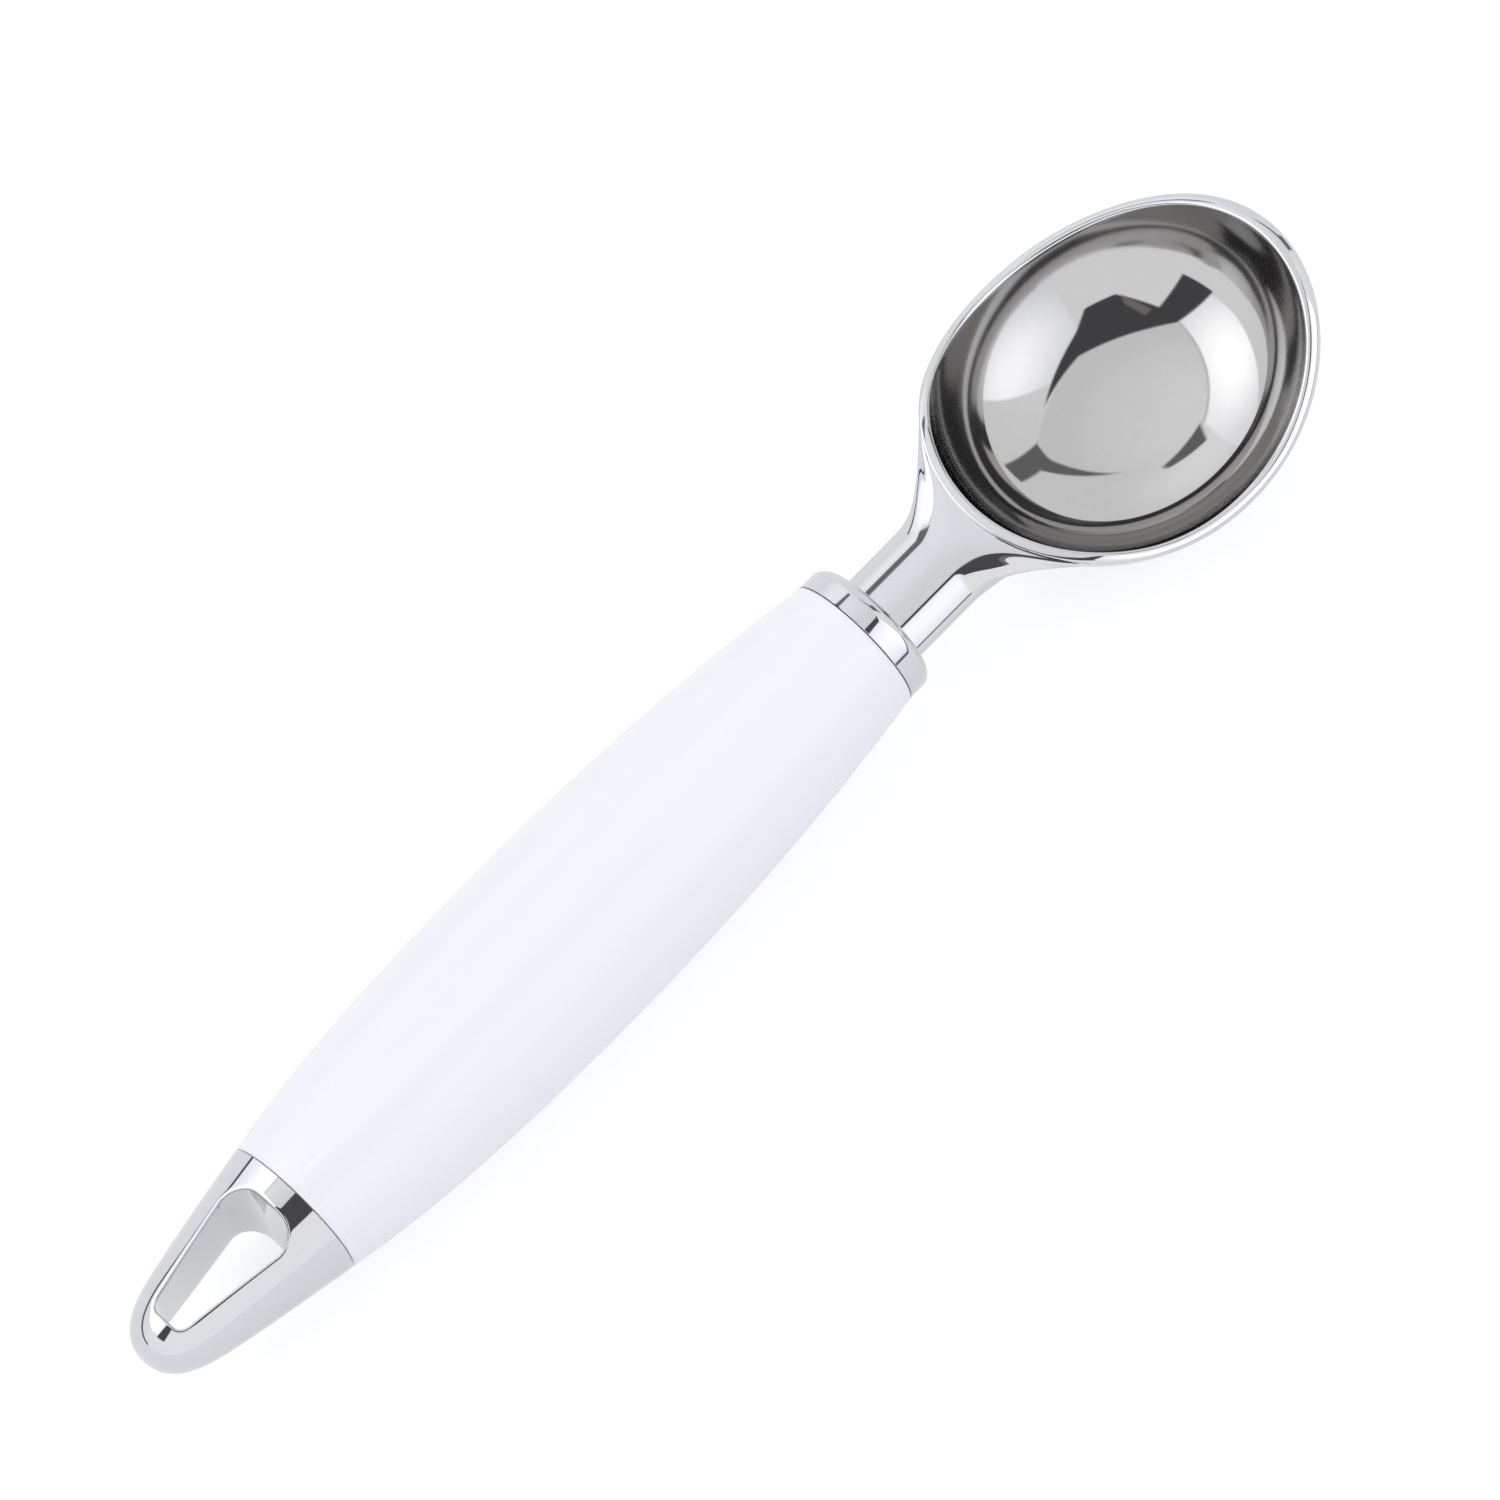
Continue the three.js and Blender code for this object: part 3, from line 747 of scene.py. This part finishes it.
white_abs = gloss_abs()
sleeve_tree, sleeve_inputs = turned_sleeve_tree(white_abs)
blank = bpy.data.objects.new("sleeve_blank", bpy.data.meshes.new("sleeve_blank"))
bpy.context.scene.collection.objects.link(blank)
turning = blank.modifiers.new("turned_sleeve", "NODES")
turning.node_group = sleeve_tree
for name, value in {**sleeve_sizes, **sleeve_counts}.items():
    turning[sleeve_inputs[name].identifier] = value
sleeve_mesh = bpy.data.meshes.new_from_object(blank.evaluated_get(bpy.context.evaluated_depsgraph_get()))
bpy.data.objects.remove(blank)
sleeve_mesh.name = "white_sleeve"
axis_along_x = Matrix(((0, 0, 1, sleeve_rear), (1, 0, 0, 0), (0, 1, 0, 0), (0, 0, 0, 1)))
sleeve_mesh.transform(set_down @ axis_along_x)
squared = bmesh.new()
squared.from_mesh(sleeve_mesh)
bmesh.ops.recalc_face_normals(squared, faces=squared.faces)
squared.to_mesh(sleeve_mesh)
squared.free()
sleeve_mesh.shade_smooth()
sleeve_mesh.set_sharp_from_angle(angle=sleeve_sharp_edge)
sleeve = bpy.data.objects.new("white_sleeve", sleeve_mesh)
bpy.context.scene.collection.objects.link(sleeve)
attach(sleeve, "root")
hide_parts("handle_sleeve")

# End cap: a blunt bullet with a tapered hole right through, to hang the scoop by.
# It is a chromed casting whose spigot is pressed into the back of the sleeve over the seal.
cap_length = 25.66
nose_length = 7.5
nose_radius = 6.45
nose_slope = 0.224
nose_bluntness = 3.4
nose_ease = 4.9
cap_front_radius = 9.85
cap_front_slope = 0.18
spigot_radius = 7.2
spigot_end = 35.5
spigot_bore = 4.4
groove_rear = 29.5
groove_front = 31.2
groove_radius = 5.9
hole_rear = 4.7
hole_front = 22.6
hole_rear_half = 2.6
hole_front_half = 4.9
hole_rear_corner = 1.5
hole_front_corner = 3.2
hole_round = 0.5
profile_samples = 1500
cap_rows = 40
hole_round_rows = 8
hole_wall_rows = 6
rear_points = 9
bend_points = 25
side_points = 42
shoulder_points = 26
corner_points = 31
front_points = 10

t = np.linspace(0, 1, profile_samples)[:, None]
third = (cap_length - nose_length) / 3
nose_line = bezier(
    t,
    (0, 0),
    (0, nose_bluntness),
    (nose_length - nose_ease, nose_radius - nose_slope * nose_ease),
    (nose_length, nose_radius),
)
flank_line = bezier(
    t,
    (nose_length, nose_radius),
    (nose_length + third, nose_radius + nose_slope * third),
    (cap_length - third, cap_front_radius - cap_front_slope * third),
    (cap_length, cap_front_radius),
)
cap_line = np.concatenate([nose_line, flank_line[1:]])


def cap_radius_squared(station):
    return np.interp(station, cap_line[:, 0], cap_line[:, 1] ** 2)


def cap_height(plan):
    return np.sqrt(np.clip(cap_radius_squared(plan[:, 0]) - plan[:, 1] ** 2, 0, None))


# One half of the hole's outline, from the middle of its rear to that of its front, and the way outwards
arc_centre = np.array([hole_front - hole_front_corner, hole_front_half - hole_front_corner])
side_start = np.array([hole_rear + hole_rear_corner, hole_rear_half])
to_arc = arc_centre - side_start
side_turn = math.atan2(to_arc[1], to_arc[0]) + math.asin(hole_front_corner / math.hypot(*to_arc))
side_way = np.array([math.cos(side_turn), math.sin(side_turn)])
side_end = side_start + side_way * (to_arc @ side_way)
corner_way = np.array([cap_length, cap_front_radius]) - arc_centre
corner_turn = math.atan2(corner_way[1], corner_way[0])
rear_corner_tip = np.array([hole_rear, hole_rear_half - hole_rear_corner * side_way[1] / side_way[0]])
rear_corner_start = np.array([hole_rear, hole_rear_half - hole_rear_corner])

rear_flat = np.linspace([hole_rear, 0], rear_corner_start, rear_points)[:-1]
round_bend = np.linspace(0, 1, bend_points)[:, None]
rear_bend = bezier(round_bend, rear_corner_start, rear_corner_tip, side_start)
bend_bow = bezier(round_bend, rear_corner_tip - rear_corner_start, side_start - rear_corner_tip)
bend_bow /= np.linalg.norm(bend_bow, axis=1)[:, None]
side_line = np.linspace(side_start, side_end, side_points)[1:-1]
arc_turns = np.concatenate(
    [
        np.linspace(side_turn + math.pi / 2, corner_turn, shoulder_points)[:-1],
        np.linspace(corner_turn, 0, corner_points),
    ]
)
arc_out = np.stack([np.cos(arc_turns), np.sin(arc_turns)], axis=-1)
front_arc = arc_centre + hole_front_corner * arc_out
front_flat = np.linspace([hole_front, arc_centre[1]], [hole_front, 0], front_points)[1:]
half_outline = np.concatenate([rear_flat, rear_bend, side_line, front_arc, front_flat])
half_out = np.concatenate(
    [
        np.tile([-1.0, 0.0], (len(rear_flat), 1)),
        np.stack([-bend_bow[:, 1], bend_bow[:, 0]], axis=-1),
        np.tile([-side_way[1], side_way[0]], (len(side_line), 1)),
        arc_out,
        np.tile([1.0, 0.0], (len(front_flat), 1)),
    ]
)
corner_column = len(rear_flat) + len(rear_bend) + len(side_line) + shoulder_points - 1
mirror = np.array([1.0, -1.0])
outline = np.concatenate([half_outline, half_outline[-2:0:-1] * mirror])
out = np.concatenate([half_out, half_out[-2:0:-1] * mirror])
columns = len(outline)


def in_plan(distance):
    plan = outline + out * distance[:, None]
    radius = np.sqrt(cap_radius_squared(plan[:, 0]))
    return (plan[:, 0] > 0) & (plan[:, 0] < cap_length) & (np.abs(plan[:, 1]) < radius)


edge_distance = searched(np.zeros(columns), np.full(columns, 2 * cap_length), in_plan)


def over_cap(distance, side):
    plan = outline + out * np.reshape(distance, (-1, 1))
    return np.column_stack([plan, side * cap_height(plan)])


def cap_half(side):
    """The skin of the upper or lower half, from the hole's rounded edge out to the half's boundary."""
    rows = []
    flat_edge = over_cap(np.full(columns, hole_round), side)
    brink = over_cap(np.zeros(columns), side)
    sunk = brink - [0, 0, side * hole_round]
    for t in np.linspace(0, 1, hole_round_rows + 1)[:-1]:
        rows.append(bezier(t, sunk, brink, flat_edge))
    for s in np.linspace(0, 1, cap_rows + 1):
        reached = hole_round + (edge_distance - hole_round) * (1 - (1 - s) ** 2)
        rows.append(over_cap(reached, side))
    rows[-1][: corner_column + 1, 2] = 0
    rows[-1][columns - corner_column :, 2] = 0
    return rows


upper = cap_half(1)
lower = cap_half(-1)
wall = [bezier(t, upper[0], lower[0]) for t in np.linspace(0, 1, hole_wall_rows + 1)]
front_columns = np.arange(corner_column, columns - corner_column + 1)
front_loop = np.concatenate([upper[-1][front_columns], lower[-1][front_columns[::-1]][1:-1]])
front_turns = np.arctan2(front_loop[:, 1], front_loop[:, 2])
spigot_outline = [
    (cap_length, spigot_radius),
    (groove_rear, spigot_radius),
    (groove_rear, groove_radius),
    (groove_front, groove_radius),
    (groove_front, spigot_radius),
    (spigot_end, spigot_radius),
    (spigot_end, spigot_bore),
    (cap_length, spigot_bore),
    (cap_length, 0.0),
]
spigot = [front_loop] + [circle_ring(station, radius, front_turns) for station, radius in spigot_outline]
cap = made_piece("chromed_end_cap", [(rings, chrome) for rings in (upper, lower, wall, spigot)])
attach(cap, "root")
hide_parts("end_cap")

# Table: a plain white sheet that keeps the scoop's shadow.
# Its own glow, for the camera and in the chrome, makes it white and adds no light to the handle.
table_radius = 4.0
table_sides = 96
table_gap = 0.0001
table_glow = 0.53
mirrored_glow = 0.45

table_mesh = bpy.data.meshes.new("table")
disc = bmesh.new()
below = Matrix.Translation((0, 0, -table_gap))
bmesh.ops.create_circle(disc, cap_ends=True, segments=table_sides, radius=table_radius, matrix=below)
disc.to_mesh(table_mesh)
disc.free()
paper, tree = blank_material("white_card_table")
path = add_node(tree, "ShaderNodeLightPath").outputs
seen = add_node(
    tree,
    "ShaderNodeMath",
    {0: path["Is Camera Ray"], 1: path["Is Transmission Ray"]},
    operation="MAXIMUM",
)
mirrored = add_node(
    tree, "ShaderNodeMath", {0: path["Is Glossy Ray"], 1: mirrored_glow}, operation="MULTIPLY"
)
glow = add_node(
    tree,
    "ShaderNodeMath",
    {0: seen.outputs[0], 1: table_glow, 2: mirrored.outputs[0]},
    operation="MULTIPLY_ADD",
)
card = add_node(
    tree,
    "ShaderNodeBsdfPrincipled",
    {
        "Base Color": linear("#CACBCD"),
        "Roughness": 0.9,
        "Specular IOR Level": 0.0,
        "Emission Color": (1.0, 1.0, 1.0, 1.0),
        "Emission Strength": glow.outputs[0],
    },
)
add_node(tree, "ShaderNodeOutputMaterial", {"Surface": card.outputs["BSDF"]})
table_mesh.materials.append(paper)
table = bpy.data.objects.new("table", table_mesh)
bpy.context.scene.collection.objects.link(table)

# Studio: a tent of soft panels round the table, white at both sides and light grey elsewhere.
# A lamp makes some of them brightest in one place. Gaps and the camera's opening are dark.
# Corners and lamps are given as azimuth from +X and angle from straight up, in degrees.
edge_softness = 0.012
lamp_core = 6
lamp_focus = 2.0
back_grey = (1.1, 1.1, 1.11, 1.0)
back_bright = (1.36, 1.36, 1.39, 1.0)
front_grey = (1.25, 1.25, 1.27, 1.0)
ceiling_grey = (1.06, 1.06, 1.07, 1.0)
ceiling_bright = (1.25, 1.25, 1.28, 1.0)
seam_grey = (0.94, 0.94, 0.95, 1.0)
left_edge = (1.4, 1.42, 1.48, 1.0)
left_bright = (2.15, 2.17, 2.21, 1.0)
right_edge = (1.2, 1.22, 1.27, 1.0)
right_bright = (1.9, 1.92, 2.0, 1.0)
tent_dark = (0.1, 0.098, 0.11, 1.0)
tent_gap = (0.22, 0.217, 0.223, 1.0)
opening_border = (0.3, 0.25, 0.24, 1.0)
panels = [
    ("back_panel", back_grey, [(91, 38), (91, 88), (45, 88), (5, 80), (5, 38)]),
    ("left_softbox", left_edge, [(90, 36), (90, 84), (110, 82), (151, 61), (172, 59), (171, 25)]),
    ("left_foot", tent_dark, [(82, 85.2), (82, 89), (165, 89), (165, 85.2)]),
    ("right_softbox", right_edge, [(-88, 20), (-96, 96), (-35, 96), (-35, 79), (-5, 69), (-3.4, 38)]),
    ("right_foot", tent_gap, [(-88, 84), (-88, 88.5), (-30, 88.5), (-30, 84)]),
    ("gap_right", tent_gap, [(0, 36), (-3.4, 70), (8, 67), (12.5, 46)]),
    ("gap_back", tent_gap, [(54, 36.5), (27, 42), (12, 49), (0, 38)]),
    ("ceiling_seam", seam_grey, [(171, 27), (0, 30), (90, 40.5), (102, 36.5), (120, 31.5), (146, 27.5)]),
    (
        "ceiling",
        ceiling_grey,
        [
            (171, 26),
            (194, 14),
            (-56, 17),
            (0, 39.5),
            (14, 40),
            (46, 36.7),
            (75, 42),
            (90, 39),
            (102, 35),
            (120, 30),
            (146, 26),
        ],
    ),
    ("gap_left", tent_dark, [(171, 25.5), (172, 59), (195, 60), (198, 27), (190, 17)]),
    ("gap_corner", tent_gap, [(88, 38), (66, 42), (68, 45), (86, 49)]),
    ("camera_opening", tent_dark, [(171, 26), (195, 29), (236, 41), (258, 40), (274, 28), (-60, 15.5)]),
    ("camera_opening_side", tent_dark, [(-82, 15), (268, 30), (-18, 28)]),
    ("opening_border", opening_border, [(203, 27), (232, 39), (229, 31), (206, 22)]),
]
lamps = {
    "left_softbox": (left_bright, (128, 48), 40),
    "right_softbox": (right_bright, (-50, 56), 48),
    "ceiling": (ceiling_bright, (88, 30), 34),
    "back_panel": (back_bright, (84, 58), 36),
}
front_way = (225, 60)
front_blend = (-0.5, 0.5)

world = bpy.data.worlds.new("soft_studio")
world.use_nodes = True
tree = world.node_tree
tree.nodes.clear()
direction = add_node(tree, "ShaderNodeTexCoord").outputs["Generated"]


def sky_way(azimuth, zenith):
    flat = math.radians(azimuth)
    tilt = math.radians(zenith)
    return Vector((math.sin(tilt) * math.cos(flat), math.sin(tilt) * math.sin(flat), math.cos(tilt)))


def panel_mask(corners):
    """One inside a panel and nothing outside, each edge being a plane through the table's middle."""
    ways = [sky_way(*corner) for corner in corners]
    middle = sum(ways, Vector())
    mask = None
    for a, b in zip(ways, ways[1:] + ways[:1]):
        plane = a.cross(b).normalized()
        plane *= math.copysign(1, plane.dot(middle))
        side = add_node(tree, "ShaderNodeVectorMath", {0: direction, 1: plane}, operation="DOT_PRODUCT")
        edge = add_node(
            tree,
            "ShaderNodeMapRange",
            {"Value": side.outputs["Value"], "From Min": -edge_softness, "From Max": edge_softness},
        ).outputs["Result"]
        if mask is not None:
            edge = add_node(tree, "ShaderNodeMath", {0: mask, 1: edge}, operation="MULTIPLY").outputs[0]
        mask = edge
    return mask


def towards(way, start, end):
    """Nothing where the direction's share along a way is up to start, and one from end on."""
    along = add_node(tree, "ShaderNodeVectorMath", {0: direction, 1: way}, operation="DOT_PRODUCT")
    return add_node(
        tree,
        "ShaderNodeMapRange",
        {"Value": along.outputs["Value"], "From Min": start, "From Max": end},
    ).outputs["Result"]


def mixed(share, below, above):
    return add_node(tree, "ShaderNodeMix", {0: share, 6: below, 7: above}, data_type="RGBA").outputs[2]


light = mixed(towards(sky_way(*front_way), *front_blend), back_grey, front_grey)
for name, colour, corners in panels:
    if name in lamps:
        bright, lamp_place, reach = lamps[name]
        spread = math.cos(math.radians(reach))
        near = towards(sky_way(*lamp_place), spread, math.cos(math.radians(lamp_core)))
        near = add_node(tree, "ShaderNodeMath", {0: near, 1: lamp_focus}, operation="POWER").outputs[0]
        colour = mixed(near, colour, bright)
    light = mixed(panel_mask(corners), light, colour)
studio = add_node(tree, "ShaderNodeBackground", {"Color": light})
backdrop = add_node(tree, "ShaderNodeBackground", {"Color": (1.0, 1.0, 1.0, 1.0)})
camera_ray = add_node(tree, "ShaderNodeLightPath").outputs["Is Camera Ray"]
shown = add_node(
    tree,
    "ShaderNodeMixShader",
    {0: camera_ray, 1: studio.outputs[0], 2: backdrop.outputs[0]},
)
add_node(tree, "ShaderNodeOutputWorld", {"Surface": shown.outputs[0]})
bpy.context.scene.world = world

# Camera: a long lens that looks steeply down on the scoop.
# It is rolled so that the handle runs across the picture from lower left to upper right.
camera_azimuth = 232.97
camera_elevation = 68.79
camera_roll = -9.6
camera_distance = 2.0
view_width = 0.1793
aim = Vector((0.00635, -0.0001, 0.01415))

back = sky_way(camera_azimuth, 90 - camera_elevation)
level = Vector((0, 0, 1)).cross(back).normalized()
upright = back.cross(level)
roll = math.radians(camera_roll)
across = level * math.cos(roll) + upright * math.sin(roll)
top = back.cross(across)
lens = bpy.data.cameras.new("camera")
lens.sensor_width = 36.0
lens.lens = lens.sensor_width * camera_distance / view_width
camera = bpy.data.objects.new("camera", lens)
turned = Matrix((across, top, back)).transposed().to_4x4()
camera.matrix_world = Matrix.Translation(aim + back * camera_distance) @ turned
bpy.context.scene.collection.objects.link(camera)
bpy.context.scene.camera = camera
bpy.context.scene.view_settings.view_transform = "Standard"
